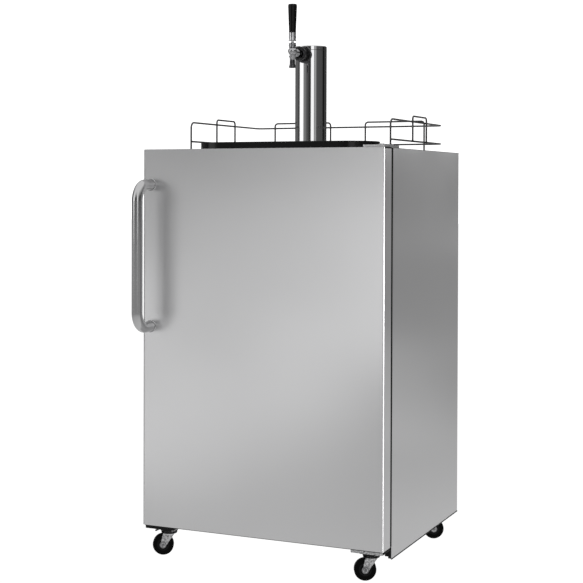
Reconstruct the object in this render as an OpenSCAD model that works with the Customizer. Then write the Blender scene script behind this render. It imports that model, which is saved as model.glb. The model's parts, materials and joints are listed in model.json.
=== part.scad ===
// Single-tap beer dispenser: a refrigerated steel cabinet on casters with a draft tower on top.
// Frame: X to the right as seen from the front, Y towards the back, Z up. The floor is z = 0 and
// the origin is under the middle of the whole object, handle included.

/* [Cabinet] */
// Width of the cabinet and of the door
cabinet_w = 600; // [580:1:620]
// Depth of the cabinet without its door
cabinet_d = 521; // [515:1:560]
// Height of the cabinet top above the floor
top_z = 966; // [950:1:1000]
// Height of the lower edge of the side panels
skirt_z = 46; // [46:1:55]
// Height of the underside of the base pan
base_z = 72; // [72:1:76]
// Thickness of the steel sheet
sheet_t = 1; // [0.8:0.1:1.2]
// Thickness of the insulated walls, skins included
wall_t = 48; // [46:1:50]

/* [Door] */
// Thickness of the door without its gasket
door_t = 48; // [46:1:50]
// Gap between the door and the cabinet, filled by the gasket
door_gap = 11; // [10.5:0.5:12]
// Height of the door's lower edge above the floor
door_z = 74; // [74:1:78]
// Distance of the hinge axis from the door's right edge
hinge_inset = 15; // [14:1:18]
// Distance of the hinge axis from the door's front face
hinge_depth = 24; // [22:1:26]
// Radius of the handle tube
handle_r = 12.7; // [10:0.1:14]
// Distance between the two handle returns, centre to centre
handle_span = 335; // [300:1:360]
// Distance from the door face to the middle of the handle tube
handle_standoff = 67.3; // [60:0.1:75]
// Height of the middle of the handle
handle_z = 714.5; // [650:0.5:760]

/* [Top] */
// Width of the drip tray
tray_w = 448; // [420:1:460]
// Depth of the drip tray
tray_d = 150; // [130:1:154]
// Height of the drip tray
tray_h = 18; // [16:1:20]
// Radius of the guard rail wire
rail_r = 2.2; // [2:0.1:3]
// Distance of the guard rail's side wires from the middle
rail_x = 258; // [250:1:265]
// Height of the upper rail above the cabinet top
rail_upper = 70; // [60:1:75]
// Height of the lower rail above the cabinet top
rail_lower = 23; // [20:1:28]
// Height of the raised hoops above the cabinet top
rail_hoop = 83; // [80:1:90]

/* [Tower] */
// Outer radius of the tower column
tower_r = 39; // [38:0.5:40]
// Height of the tower above the cabinet top
tower_h = 260; // [256:1:330]
// Distance from the tower top down to the shank
shank_drop = 24; // [24:1:30]
// Distance from the tower axis forward to the faucet axis
tap_reach = 119; // [117:1:121]

/* [Casters] */
// Radius of the caster wheels
wheel_r = 25; // [24:0.5:25]
// Width of the caster wheels
wheel_w = 18; // [16:1:18]
// Distance from a caster's swivel axis to its wheel axis
caster_trail = 14; // [12:1:15]
// Places of the left and right swivel axes across the cabinet
caster_x = [-250, 260]; // [-261:1:261]
// Heading of each caster: front left, front right, rear left, rear right
caster_heading = [24, 24, 24, 204]; // [0:1:359]

/* [Hidden] */
$fn = 64;

// Main planes, from front to back
handle_reach = handle_standoff + handle_r;
overall_d = handle_reach + door_t + door_gap + cabinet_d;
door_y = handle_reach - overall_d / 2;
door_back_y = door_y + door_t;
cab_y = door_back_y + door_gap;
back_y = cab_y + cabinet_d;
half_w = cabinet_w / 2;
inner_w = half_w - sheet_t;

// Cabinet body
fold_w = 10;
fold_r = 2;
liner_t = 2;
cavity_x = half_w - wall_t;
cavity_floor = base_z + wall_t;
cavity_top = top_z - wall_t + liner_t;
cavity_back = back_y - wall_t - liner_t;
frame_back = cab_y + sheet_t;
pan_top = base_z + sheet_t;
bay_y = 175;
bay_top = 285;
bay_wall = 35;
hump_y = bay_y - bay_wall - liner_t;
hump_z = bay_top + bay_wall + liner_t;
back_skin_y = back_y - 2 * sheet_t;

// Evaporator in the upper back of the cavity
evap_x = 170;
evap_z = [560, 860];
evap_y = cavity_back - 40;
fan_z = 780;
fan_y = evap_y + 14;
fan_opening_r = 50;
motor_shaft_r = 2;

// Thermostat under the cavity's ceiling
stat_x = [90, 210];
stat_y = [-150, -70];
stat_drop = 42;
stat_knob_x = 130;
stat_knob_z = cavity_top - stat_drop / 2;
spindle_r = 3;

// Hinges
hinge_x = half_w - hinge_inset;
hinge_y = door_y + hinge_depth;
pin_r = 4;
pin_l = 24;
running_gap = 0.06;
bracket_x = [222, 297];
bracket_y = [door_y + 2, door_y + 100];
bracket_t = 6;
bracket_z = base_z - bracket_t;

// Drip tray, with the ledge that its grille lies on
part_gap = 0.3;
tray_wall = 3;
tray_r = 70;
tray_back = -4;
tray_z = [top_z + part_gap, top_z + tray_h];
tray_y = [tray_back - tray_d, tray_back];
ledge_w = 5;
ledge_z = tray_z[1] - 4.3;
cable_hole_r = 25;

// Guard rail
rail_front = door_y + 163;
rail_back = door_y + 567;
rail_bend = 14;
weld_offset = 2 * rail_r - 0.5;
side_hoop = [66, 175];
back_hoop = [49, 210];

// Tower and faucet
tower_y = 60;
tower_t = 1.5;
tower_top = top_z + tower_h;
cap_h = 11;
cap_z = tower_top - cap_h;
shank_z = tower_top - shank_drop;
tap_y = tower_y - tap_reach;
shank_r = 11;
nut_y = [-14, 8];
pivot_z = shank_z + 16;
ball_r = 8;
ball_gap = 0.3;
collar_z = shank_z + 28;
ferrule_z = collar_z + 4;
handle_foot_z = ferrule_z + 15;
tap_top_z = handle_foot_z + 69;
stud_r = 4.7;

// Gas bottle, regulator and keg coupler
plate_top = cavity_floor + 1.5;
bottle = [170, -60, plate_top];
bottle_r = 66.5;
bottle_h = 345;
valve_z = plate_top + bottle_h;
outlet_z = valve_z + 33;
reg = [92, -60, outlet_z];
reg_r = 22;
gauge_r = 24;
gauge_off = 54;
wheel_hub_z = valve_z + 72;
coupler = [-150, 205, hump_z];
coupler_pivot = [-150, 205, hump_z + 55];
coupler_rest = 25;

// Casters
swivel_front = door_y + 37;
swivel_rear = 206;
caster_spots = [[caster_x[0], swivel_front], [caster_x[1], swivel_front],
    [caster_x[0], swivel_rear], [caster_x[1], swivel_rear]];
plate_t = 2.5;
swivel_top = bracket_z - plate_t;
axle_r = 4;

// Held hoses, as points along their routes
beer_r = 5.5;
beer_route = [[0, 50, 1172], [0, 50, 1140], [0, 54, 1080], [0, 60, 1000], [0, 62, 940],
    [0, 70, 880], [-6, 95, 810], [-20, 130, 740], [-50, 165, 660], [-95, 190, 580],
    [-135, 202, 510], [-150, 205, 460], [-150, 205, 432]];
gas_r = 7;
gas_route = [[92, -60, 440], [92, -60, 415], [90, -48, 385], [86, -10, 362], [78, 40, 352],
    [64, 95, 346], [34, 145, 340], [-8, 180, 336], [-50, 200, 340], [-80, 205, 350],
    [-92, 205, 352], [-104, 205, 352]];

// ---- Shared shapes ----

function unit(v) = v / norm(v);
function turn_at(p, i) = acos(unit(p[i] - p[i - 1]) * unit(p[i + 1] - p[i]));
function trim_at(p, i, bend) = i == 0 || i == len(p) - 1 ? 0 : bend * tan(turn_at(p, i) / 2);

// A box between two opposite corners
module block(low, high) {
    translate(low) cube(high - low);
}

// A round section, hollow when it has a bore
module section(r, bore = 0) {
    difference() {
        circle(r);
        if (bore > 0) circle(bore);
    }
}

// A straight round bar between two points
module bar(start, end, r, bore = 0) {
    v = end - start;
    translate(start) rotate([0, acos(v.z / norm(v)), atan2(v.y, v.x)])
        linear_extrude(norm(v)) section(r, bore);
}

// A quarter or other bend of a round bar at point b, coming from a and leaving to c
module elbow(a, b, c, r, bend, bore = 0) {
    along = unit(b - a);
    out = unit(c - b);
    turn = acos(along * out);
    inward = unit(out - (along * out) * along);
    side = cross(-inward, along);
    centre = b - along * bend * tan(turn / 2) + inward * bend;
    multmatrix([[-inward.x, along.x, side.x, centre.x], [-inward.y, along.y, side.y, centre.y],
        [-inward.z, along.z, side.z, centre.z], [0, 0, 0, 1]])
        rotate_extrude(angle = turn) translate([bend, 0]) section(r, bore);
}

// A round bar or tube that follows points with the same bend radius at each corner
module bent_bar(p, r, bend, bore = 0) {
    for (i = [0:len(p) - 2]) {
        along = unit(p[i + 1] - p[i]);
        bar(p[i] + along * trim_at(p, i, bend), p[i + 1] - along * trim_at(p, i + 1, bend), r, bore);
    }
    for (i = [1:len(p) - 2]) elbow(p[i - 1], p[i], p[i + 1], r, bend, bore);
}

// A flat rectangle with round corners, centred
module rounded_rect(w, d, r) {
    square([w - 2 * r, d], center = true);
    square([w, d - 2 * r], center = true);
    for (x = [-1, 1], y = [-1, 1]) translate([x * (w / 2 - r), y * (d / 2 - r)]) circle(r);
}

// A plate with round vertical edges between two heights, given by its X and Y limits
module rounded_plate(x, y, z, r) {
    translate([(x[0] + x[1]) / 2, (y[0] + y[1]) / 2, z[0]])
        linear_extrude(z[1] - z[0]) rounded_rect(x[1] - x[0], y[1] - y[0], r);
}

// A cylinder along Y between two places
module along_y(x, z, y, r, bore = 0) {
    bar([x, y[0], z], [x, y[1], z], r, bore);
}

// An outline in the YZ plane, stretched along X to both sides of the middle
module side_outline(half) {
    translate([-half, 0, 0]) rotate([90, 0, 90]) linear_extrude(2 * half) children();
}

// The cavity's outline from the side, grown by a wall
module cavity_outline(grow) {
    polygon([[frame_back, cavity_floor - grow], [hump_y + grow, cavity_floor - grow],
        [hump_y + grow, hump_z - grow], [cavity_back + grow, hump_z - grow],
        [cavity_back + grow, cavity_top + grow], [frame_back, cavity_top + grow]]);
}

// ---- Cabinet ----

module side_panel(side) {
    translate([0, 0, skirt_z]) linear_extrude(top_z - sheet_t - skirt_z)
        mirror([side < 0 ? 1 : 0, 0]) difference() {
            translate([half_w - 2 * fold_w, (cab_y + back_y) / 2])
                rounded_rect(4 * fold_w, cabinet_d, fold_r);
            translate([half_w - 5 * fold_w, cab_y + sheet_t])
                square([5 * fold_w - sheet_t, cabinet_d - 2 * sheet_t]);
            translate([half_w - 5 * fold_w, cab_y - 1]) square([4 * fold_w, cabinet_d + 2]);
        }
}

// The front fold stops above the brackets
module bracket_notch(side) {
    mirror([side < 0 ? 1 : 0, 0, 0])
        block([half_w - 2 * fold_w, cab_y - 1, skirt_z - 1], [inner_w, frame_back, base_z]);
}

module side_panel_left() {
    color("silver") difference() {
        side_panel(-1);
        bracket_notch(-1);
    }
}

module side_panel_right() {
    color("silver") difference() {
        side_panel(1);
        bracket_notch(1);
    }
}

module top_panel() {
    color("silver") difference() {
        block([-half_w, cab_y, top_z - sheet_t], [half_w, back_y, top_z]);
        translate([0, tower_y, top_z - 5]) cylinder(r = cable_hole_r, h = 10);
    }
}

module back_panel() {
    color("gainsboro")
        block([-inner_w, back_skin_y, bay_top + sheet_t], [inner_w, back_skin_y + sheet_t, top_z - sheet_t]);
}

// The pan steps up at the back to roof over the machine bay
module base_pan() {
    flange_x = 215;
    flange_z = 57;
    color("dimgray") {
        block([-inner_w, frame_back, base_z], [inner_w, back_skin_y, pan_top]);
        block([-flange_x, frame_back, flange_z], [flange_x, frame_back + sheet_t, base_z]);
        block([-inner_w, bay_y - sheet_t, pan_top], [inner_w, bay_y, bay_top]);
        block([-inner_w, bay_y - sheet_t, bay_top], [inner_w, back_skin_y + sheet_t, bay_top + sheet_t]);
    }
}

module front_frame() {
    frame_x = half_w - fold_w;
    color("lightgray") difference() {
        block([-frame_x, cab_y, base_z], [frame_x, frame_back, top_z - sheet_t]);
        block([-cavity_x, cab_y - 1, cavity_floor], [cavity_x, frame_back + 1, cavity_top]);
    }
}

module cabinet_foam() {
    color("khaki") difference() {
        block([-inner_w, frame_back, pan_top], [inner_w, back_skin_y, top_z - sheet_t]);
        side_outline(cavity_x + liner_t) cavity_outline(liner_t);
        block([-half_w, bay_y - sheet_t, pan_top - 1], [half_w, back_y, bay_top + sheet_t]);
        translate([0, tower_y, cavity_top]) cylinder(r = cable_hole_r, h = 2 * wall_t);
    }
}

module inner_liner() {
    color("white") difference() {
        side_outline(cavity_x + liner_t) cavity_outline(liner_t);
        translate([0, -1, 0]) side_outline(cavity_x) cavity_outline(0);
        block([-cavity_x, cavity_back - 5, hump_z], [cavity_x, cavity_back, cavity_top]);
        block([-cavity_x, hump_y - 5, cavity_floor], [cavity_x, hump_y, hump_z + 5]);
        translate([0, tower_y, cavity_top - 1]) cylinder(r = cable_hole_r, h = 10);
    }
}

// One plate for the keg and one for the gas bottle
module floor_plate() {
    color("silver") for (x = [[-235, 96], [102, 235]])
        rounded_plate(x, [cab_y + 14, hump_y - 8], [cavity_floor, plate_top], 6);
}

module evaporator_cover() {
    wall = 2;
    slot_w = 46;
    slot_h = 5;
    color("white") {
        difference() {
            block([-evap_x, evap_y, evap_z[0]], [evap_x, cavity_back, evap_z[1]]);
            block([wall - evap_x, evap_y + wall, evap_z[0] + wall],
                [evap_x - wall, cavity_back + 1, evap_z[1] - wall]);
            along_y(0, fan_z, [evap_y - 1, evap_y + wall + 1], fan_opening_r);
            for (column = [-2:2], row = [0:5])
                translate([column * (slot_w + 10) - slot_w / 2, evap_y - 1, evap_z[0] + 24 + row * 12])
                    cube([slot_w, wall + 2, slot_h]);
        }
        for (r = [16, 28, 40]) along_y(0, fan_z, [evap_y, evap_y + wall], r + 1, r - 1);
        for (turn = [0:45:135])
            translate([0, evap_y + wall / 2, fan_z]) rotate([0, turn, 0])
                cube([2 * fan_opening_r + 1, wall, 2], center = true);
    }
}

// The cooling coil with its two end plates, and the fan motor on its bracket
module evaporator_unit() {
    tube_r = 4;
    coil_x = 140;
    rows = 6;
    pitch = 22;
    first_z = evap_z[0] + 30;
    coil_y = cavity_back - 8;
    path = [for (i = [0:rows - 1]) each let (z = first_z + i * pitch, s = i % 2 == 0 ? 1 : -1)
        [[-s * coil_x, coil_y, z], [s * coil_x, coil_y, z]]];
    color("silver") {
        bent_bar(path, tube_r, 9);
        for (x = [-110, 110])
            block([x - 1, cavity_back - 14, first_z - 12], [x + 1, cavity_back, first_z + rows * pitch - 8]);
        along_y(0, fan_z, [fan_y + 12, cavity_back], 18);
        along_y(0, fan_z, [fan_y - 2, fan_y + 12], motor_shaft_r);
    }
}

module evaporator_fan() {
    blades = 5;
    hub_r = 13;
    tip_r = 45;
    color("dimgray") difference() {
        union() {
            along_y(0, fan_z, [fan_y - 5, fan_y + 7], hub_r);
            for (i = [0:blades - 1])
                translate([0, fan_y + 1, fan_z]) rotate([0, i * 360 / blades, 0])
                    translate([(hub_r + tip_r) / 2 - 1, 0, 0]) rotate([28, 0, 0])
                        cube([tip_r - hub_r + 2, 1.6, 20], center = true);
        }
        along_y(0, fan_z, [fan_y - 3, fan_y + 8], motor_shaft_r + running_gap);
    }
}

module thermostat_box() {
    z = [cavity_top - stat_drop, cavity_top];
    color("white") {
        rounded_plate(stat_x, stat_y, z, 6);
        along_y(stat_knob_x, stat_knob_z, [stat_y[0] - 12, stat_y[0] + 1], spindle_r);
    }
}

module thermostat_knob() {
    knob_r = 17;
    color("dimgray") difference() {
        union() {
            along_y(stat_knob_x, stat_knob_z, [stat_y[0] - 6, stat_y[0] - part_gap], knob_r);
            along_y(stat_knob_x, stat_knob_z, [stat_y[0] - 16, stat_y[0] - 6], knob_r - 4);
            block([stat_knob_x - 2, stat_y[0] - 18, stat_knob_z - knob_r + 3],
                [stat_knob_x + 2, stat_y[0] - 6, stat_knob_z + knob_r - 1]);
        }
        along_y(stat_knob_x, stat_knob_z, [stat_y[0] - 13, stat_y[0] + 1], spindle_r + running_gap);
    }
}

// ---- Machine bay ----

// Sealed shell on a plate with four rubber feet, and its relay box
module compressor() {
    shell_r = 60;
    shell_h = 165;
    edge_r = 26;
    foot_h = 10;
    centre = [-150, 250];
    color("black") translate([centre.x, centre.y, pan_top]) {
        for (x = [-1, 1], y = [-1, 1]) translate([x * 78, y * 42, 0]) cylinder(r = 10, h = foot_h);
        translate([0, 0, foot_h]) linear_extrude(3) rounded_rect(184, 108, 10);
        translate([0, 0, foot_h + 3]) rotate_extrude() intersection() {
            union() {
                translate([0, edge_r]) square([shell_r, shell_h - 2 * edge_r]);
                square([shell_r - edge_r, shell_h]);
                for (z = [edge_r, shell_h - edge_r]) translate([shell_r - edge_r, z]) circle(edge_r);
            }
            square([shell_r, shell_h]);
        }
        block([shell_r - 8, -24, foot_h + 40], [shell_r + 28, 24, foot_h + 96]);
    }
}

// A bent tube held by two end plates
module condenser() {
    tube_r = 3.5;
    rows = 6;
    pitch = 26;
    x = [50, 240];
    first_z = pan_top + 22;
    columns = [215, 245, 275];
    color("darkslategray") {
        for (y = columns) bent_bar([for (i = [0:rows - 1])
            each let (z = first_z + i * pitch, a = i % 2 == 0 ? 0 : 1)
            [[x[a], y, z], [x[1 - a], y, z]]], tube_r, 11);
        for (px = [x[0] + 22, x[1] - 22])
            block([px - 1, columns[0] - 20, pan_top], [px + 1, columns[2] + 20, first_z + rows * pitch]);
    }
}

module rear_cover() {
    cover_x = half_w - fold_w - 1;
    cover_y = back_skin_y;
    slot = [90, 6];
    color("gray") difference() {
        block([-cover_x, cover_y, pan_top], [cover_x, cover_y + sheet_t, bay_top]);
        for (x = [-170, -60, 50, 160], row = [0:9])
            translate([x, cover_y + sheet_t / 2, pan_top + 40 + row * 17])
                rotate([90, 0, 0]) linear_extrude(3, center = true) rounded_rect(slot.x, slot.y, 2.9);
        along_y(255, pan_top + 30, [cover_y - 1, cover_y + 3], 9);
    }
}

// Gland where the mains lead would enter
module cord_gland() {
    color("black") {
        along_y(255, pan_top + 30, [back_skin_y - 12, back_y - 0.5], 9, 4.5);
        along_y(255, pan_top + 30, [back_skin_y - 4, back_skin_y], 13, 9);
    }
}

// ---- Front brackets and hinges ----

module bracket_plate() {
    rounded_plate(bracket_x, bracket_y, [bracket_z, base_z], 5);
}

module left_bracket() {
    color("black") mirror([1, 0, 0]) bracket_plate();
}

module lower_hinge() {
    color("silver") {
        bracket_plate();
        translate([hinge_x, hinge_y, base_z]) cylinder(r = pin_r, h = pin_l);
        translate([hinge_x, hinge_y, base_z]) cylinder(r = 7, h = door_z - base_z - 0.5);
    }
}

module upper_hinge() {
    plate_z = top_z + 1;
    plate_h = 5;
    y = [hinge_y - 12, cab_y + 55];
    color("silver") {
        rounded_plate([244, 297], y, [plate_z, plate_z + plate_h], 5);
        rounded_plate([244, 297], [cab_y + 4, y[1]], [top_z, plate_z], 5);
        translate([hinge_x, hinge_y, plate_z - pin_l]) cylinder(r = pin_r, h = pin_l);
    }
}

// ---- Drip tray and guard rail ----

// The tray's outline from above, made smaller by an inset
module tray_plate(inset, z) {
    x = tray_w / 2 - inset;
    rounded_plate([-x, x], [tray_y[0] + inset, tray_y[1] - inset], z, tray_r - inset);
}

module drip_tray() {
    floor_t = 2;
    color("black") difference() {
        tray_plate(0, tray_z);
        tray_plate(tray_wall + ledge_w, [tray_z[0] + floor_t, tray_z[1] + 1]);
        tray_plate(tray_wall, [ledge_z, tray_z[1] + 1]);
    }
}

// Slotted plate on the tray's ledge
module drip_grille() {
    inset = tray_wall + 1;
    z = [ledge_z + part_gap, ledge_z + part_gap + 2];
    slots = 13;
    pitch = 22;
    slot = [14, 4];
    color("silver") difference() {
        tray_plate(inset, z);
        for (i = [0:slots - 1], y = [-119, -99, -79, -59, -39])
            rounded_plate([(i - 6) * pitch - slot.x / 2, (i - 6) * pitch + slot.x / 2],
                [y - slot.y / 2, y + slot.y / 2], [z[0] - 1, z[1] + 1], 1.9);
    }
}

// Welded wire: two posts in front, two rails round three sides, and four raised hoops
module guard_rail() {
    upper = top_z + rail_upper;
    lower = top_z + rail_lower;
    hoop = top_z + rail_hoop;
    hoop_bend = 8;
    hoop_x = rail_x + weld_offset;
    hoop_y = rail_back + weld_offset;
    color("silver") {
        bent_bar([[-rail_x, rail_front, top_z], [-rail_x, rail_front, upper],
            [-rail_x, rail_back, upper], [rail_x, rail_back, upper],
            [rail_x, rail_front, upper], [rail_x, rail_front, top_z]], rail_r, rail_bend);
        bent_bar([[-rail_x, rail_front, lower], [-rail_x, rail_back, lower],
            [rail_x, rail_back, lower], [rail_x, rail_front, lower]], rail_r, rail_bend);
        for (s = [-1, 1]) {
            bent_bar([[s * hoop_x, side_hoop[0], lower - rail_r], [s * hoop_x, side_hoop[0], hoop],
                [s * hoop_x, side_hoop[1], hoop], [s * hoop_x, side_hoop[1], lower - rail_r]],
                rail_r, hoop_bend);
            bent_bar([[s * back_hoop[0], hoop_y, top_z], [s * back_hoop[0], hoop_y, hoop],
                [s * back_hoop[1], hoop_y, hoop], [s * back_hoop[1], hoop_y, top_z]],
                rail_r, hoop_bend);
        }
    }
}

// ---- Tower ----

module tower_flange() {
    color("silver") translate([0, tower_y, top_z]) rotate_extrude() difference() {
        union() {
            translate([tower_r, 0]) square([15, 4]);
            translate([tower_r, 0]) square([11, 8]);
            translate([tower_r + 11, 4]) circle(4);
        }
        translate([tower_r - 5, -5]) square([30, 5]);
    }
}

module tower_column() {
    color("silver") difference() {
        translate([0, tower_y, top_z]) linear_extrude(cap_z - top_z) section(tower_r, tower_r - tower_t);
        along_y(0, shank_z, [tower_y - 60, tower_y], shank_r + 0.2);
    }
}

module tower_cap() {
    edge_r = 2.5;
    color("silver") difference() {
        translate([0, tower_y, cap_z]) rotate_extrude() difference() {
            union() {
                square([tower_r, cap_h - edge_r]);
                square([tower_r - edge_r, cap_h]);
                translate([tower_r - edge_r, cap_h - edge_r]) circle(edge_r);
                translate([tower_r - tower_t - 2, -7]) square([1.9, 8]);
            }
            translate([0, -8]) square([tower_r - tower_t - 2, 16]);
        }
        block([-16, 0, cap_z - 8], [16, tower_y - 10, cap_z]);
    }
}

// Threaded tube through the column, with its outer collar, inner nut and hose tail
module shank() {
    tail_y = 50;
    color("gainsboro") difference() {
        union() {
            along_y(0, shank_z, [nut_y[0] + 10, tail_y], shank_r);
            along_y(0, shank_z, [nut_y[1], tower_y - 20], 17);
            translate([0, tail_y, shank_z]) sphere(shank_r);
            translate([0, tail_y, shank_z - 30]) cylinder(r = 4, h = 30);
            for (z = [-28, -22]) translate([0, tail_y, shank_z + z]) cylinder(r = 5, h = 2);
        }
        difference() {
            translate([0, tower_y, shank_z - 40]) linear_extrude(80) section(tower_r, tower_r - tower_t);
            along_y(0, shank_z, [tower_y - 60, tower_y], shank_r + 0.1);
        }
        difference() {
            translate([0, tower_y, shank_z - 40]) cylinder(r = tower_r - tower_t, h = 80);
            along_y(0, shank_z, [tower_y - 50, tail_y], 12);
            translate([0, tail_y, shank_z - 40]) cylinder(r = 12, h = 80);
        }
        along_y(0, shank_z, [nut_y[0], tail_y], 4);
        translate([0, tail_y, shank_z - 35]) cylinder(r = 2.5, h = 35);
    }
}

// Knurled nut that clamps the faucet to the shank
module coupling_nut() {
    nut_r = 15;
    grooves = 24;
    color("gainsboro") difference() {
        along_y(0, shank_z, nut_y, nut_r, shank_r);
        for (i = [0:grooves - 1]) translate([0, nut_y[0] + 3, shank_z]) rotate([-90, i * 360 / grooves, 0])
            translate([nut_r + 0.6, 0, 0]) cylinder(r = 1.4, h = nut_y[1] - nut_y[0] - 6, $fn = 16);
    }
}

module faucet_body() {
    tail_y = nut_y[0] + 10;
    spout_z = shank_z - 38;
    bore_r = 6.2;
    color("gainsboro") difference() {
        union() {
            along_y(0, shank_z, [tap_y, tail_y], shank_r);
            along_y(0, shank_z, [tap_y, nut_y[0]], 11);
            translate([0, tap_y, shank_z - 15]) cylinder(r = 13, h = 27);
            translate([0, tap_y, spout_z]) cylinder(r1 = 7.5, r2 = 10, h = 23);
        }
        along_y(0, shank_z, [tap_y - 11, tail_y + 1], bore_r);
        translate([0, tap_y, pivot_z]) sphere(ball_r + ball_gap);
        block([-3, tap_y - 3.5, shank_z], [3, tap_y + 9, shank_z + 13]);
        translate([0, tap_y, spout_z - 1]) cylinder(r = 5, h = 38);
    }
}

// Ring that holds the lever's ball down
module faucet_bonnet() {
    bonnet_r = 12.5;
    z = [shank_z + 12, shank_z + 22];
    color("gainsboro") difference() {
        translate([0, tap_y, z[0]]) rotate_extrude() {
            square([bonnet_r, z[1] - z[0] - 3]);
            square([bonnet_r - 3, z[1] - z[0]]);
            translate([bonnet_r - 3, z[1] - z[0] - 3]) circle(3);
        }
        translate([0, tap_y, pivot_z]) sphere(ball_r + ball_gap);
        translate([0, tap_y, z[0] - 1]) cylinder(r = 7.2, h = 20);
        for (i = [0:11]) translate([0, tap_y, z[0] - 1]) rotate([0, 0, i * 30])
            translate([bonnet_r + 0.7, 0, 0]) cylinder(r = 1.5, h = 7, $fn = 16);
    }
}

// Valve rod inside the faucet, pushed back by the lever's lower end
module faucet_shaft() {
    front = tap_y - 7;
    color("gray") {
        along_y(0, shank_z, [front, nut_y[0] - 4], 2.4);
        along_y(0, shank_z, [front, front + 3.5], 5.5);
        along_y(0, shank_z, [tap_y + 3.5, tap_y + 7], 5.5);
        along_y(0, shank_z, [nut_y[0] - 8, nut_y[0] - 4], 5.8);
    }
}

module faucet_lever() {
    lug_r = 2;
    neck_r = 3;
    color("gainsboro") translate([0, tap_y, 0]) {
        translate([0, 0, shank_z + 2.9]) cylinder(r = lug_r, h = pivot_z - shank_z - 2.9);
        translate([0, 0, pivot_z]) sphere(ball_r);
        translate([0, 0, pivot_z]) cylinder(r = neck_r, h = collar_z - pivot_z);
        translate([0, 0, collar_z]) cylinder(r = 7.5, h = ferrule_z - collar_z);
        translate([0, 0, ferrule_z]) cylinder(r = stud_r, h = handle_foot_z + 8 - ferrule_z);
    }
}

module tap_ferrule() {
    h = handle_foot_z - ferrule_z;
    color("silver") translate([0, tap_y, ferrule_z]) rotate_extrude() difference() {
        union() {
            square([7.4, h]);
            square([8.4, 4]);
            translate([0, h - 3]) square([7.8, 3]);
        }
        translate([-1, -1]) square([stud_r + 1, h + 2]);
    }
}

// Tapered grip that widens towards its domed top
module tap_handle() {
    h = tap_top_z - handle_foot_z;
    foot_r = 8.4;
    top_r = 10.8;
    dome_h = 5;
    color("black") translate([0, tap_y, handle_foot_z]) difference() {
        rotate_extrude() intersection() {
            union() {
                polygon([[0, 0], [foot_r, 0], [top_r, h - dome_h], [0, h - dome_h]]);
                translate([0, h - 40]) circle(40);
            }
            polygon([[0, 0], [foot_r, 0], [top_r, h - dome_h], [top_r - 0.8, h - 1.6],
                [top_r - 3, h], [0, h]]);
        }
        translate([0, 0, -1]) cylinder(r = stud_r, h = 9);
    }
}

// ---- Gas bottle, regulator and coupler ----

module co2_cylinder() {
    shoulder_r = 42;
    base_r = 10;
    neck_r = 15;
    color("lightgray") translate(bottle) rotate_extrude() {
        intersection() {
            union() {
                translate([0, base_r]) square([bottle_r, bottle_h - shoulder_r - base_r - 12]);
                square([bottle_r - base_r, 100]);
                translate([bottle_r - base_r, base_r]) circle(base_r);
                square([bottle_r - shoulder_r, bottle_h - 12]);
                translate([bottle_r - shoulder_r, bottle_h - 12 - shoulder_r]) circle(shoulder_r);
            }
            square([bottle_r, bottle_h]);
        }
        square([neck_r, bottle_h]);
    }
}

module cylinder_valve() {
    color("goldenrod") translate([bottle.x, bottle.y, valve_z]) {
        cylinder(r = 16, h = 12);
        cylinder(r = 12, h = 56);
        translate([0, 0, 56]) cylinder(r = 8, h = 8);
        cylinder(r = 4, h = wheel_hub_z - valve_z + 6);
        bar([0, 0, 33], [-34, 0, 33], 9);
        bar([0, 0, 30], [20, 0, 30], 6);
    }
}

module valve_handwheel() {
    rim_r = 22;
    color("black") translate([bottle.x, bottle.y, wheel_hub_z]) difference() {
        union() {
            cylinder(r = 9, h = 8);
            translate([0, 0, 4]) rotate_extrude() translate([rim_r, 0]) circle(4.5);
            for (i = [0:4]) rotate([0, 0, i * 72]) translate([0, -2.5, 1.5]) cube([rim_r, 5, 5]);
        }
        translate([0, 0, -1]) cylinder(r = 4 + running_gap, h = 8);
    }
}

// Body with inlet nut, two gauge stems and an outlet tail that points down
module regulator() {
    tail_z = 440;
    color("goldenrod") difference() {
        union() {
            translate([bottle.x - 34, bottle.y, outlet_z]) rotate([0, -90, 0])
                cylinder(r = 15, h = 14, $fn = 6);
            bar([bottle.x - 48, reg.y, reg.z], reg, 8);
            along_y(reg.x, reg.z, [reg.y - 28, reg.y + 20], reg_r);
            bar(reg, reg + [0, 0, gauge_off - gauge_r + 1], 5);
            bar(reg, reg - [gauge_off - gauge_r + 1, 0, 0], 5);
            bar([reg.x, reg.y, tail_z + 22], reg, 8);
            bar([reg.x, reg.y, tail_z], reg, 4.5);
            along_y(reg.x, reg.z, [reg.y - 44, reg.y - 28], 5);
        }
        for (at = [[0, 0, gauge_off], [-gauge_off, 0, 0]])
            translate(reg + at + [0, 14, 0]) rotate([90, 0, 0]) cylinder(r = gauge_r, h = 30);
    }
}

// Two round dial cases that face the door
module pressure_gauges() {
    lens_t = 3;
    depth = [10, -14];
    color("white") for (at = [[0, 0, gauge_off], [-gauge_off, 0, 0]]) translate(reg + at) difference() {
        along_y(0, 0, [depth[1], depth[0]], gauge_r);
        along_y(0, 0, [depth[1] - 1, depth[1] + lens_t], gauge_r - 2.5);
    }
}

module regulator_knob() {
    knob_r = 15;
    y = [reg.y - 52, reg.y - 28 - part_gap];
    color("black") difference() {
        along_y(reg.x, reg.z, y, knob_r);
        along_y(reg.x, reg.z, [reg.y - 45, reg.y - 20], 5 + running_gap);
        for (i = [0:9]) translate([reg.x, y[0] - 1, reg.z]) rotate([-90, i * 36, 0])
            translate([knob_r + 1, 0, 0]) cylinder(r = 2.4, h = 20, $fn = 16);
    }
}

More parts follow.
